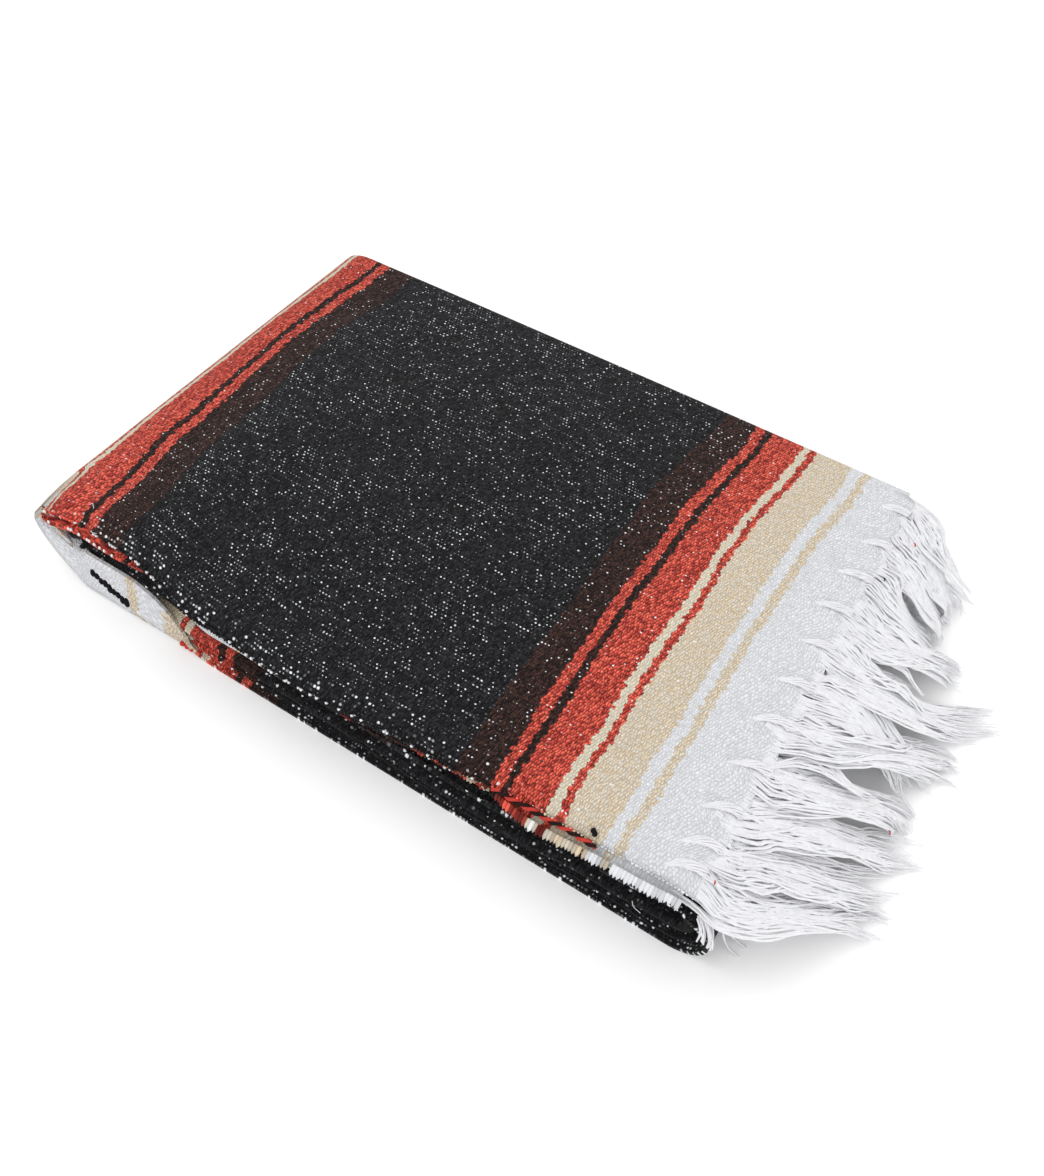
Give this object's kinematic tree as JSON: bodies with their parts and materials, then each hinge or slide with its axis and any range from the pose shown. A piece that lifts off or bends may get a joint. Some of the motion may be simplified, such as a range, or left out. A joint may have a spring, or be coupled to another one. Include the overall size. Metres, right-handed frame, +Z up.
{
  "type": "folded mexican falsa blanket",
  "caption": "Folded handwoven falsa blanket in striped wool, lying flat, with knotted fringe hanging over one end.",
  "frame": {"origin": "bottom centre of the blanket's bounding box, on the surface it lies on", "axes": "+X along the stack towards the fringe, +Y towards the rolled back edge, +Z up"},
  "size_m": [0.5906, 0.3294, 0.0626],
  "materials": {
    "wool": "coarse weft-faced plain weave, matt, slightly hairy",
    "wool_in_the_folds": "coarse weft-faced plain weave, matt",
    "fringe_yarn": "soft untwisted cotton yarn, matt"
  },
  "bodies": {
    "root": {"outer_ply": "wool", "second_ply": "wool", "hidden_plies": "wool_in_the_folds", "upper_fringe": "fringe_yarn", "lower_fringe": "fringe_yarn"}
  },
  "joints": []
}
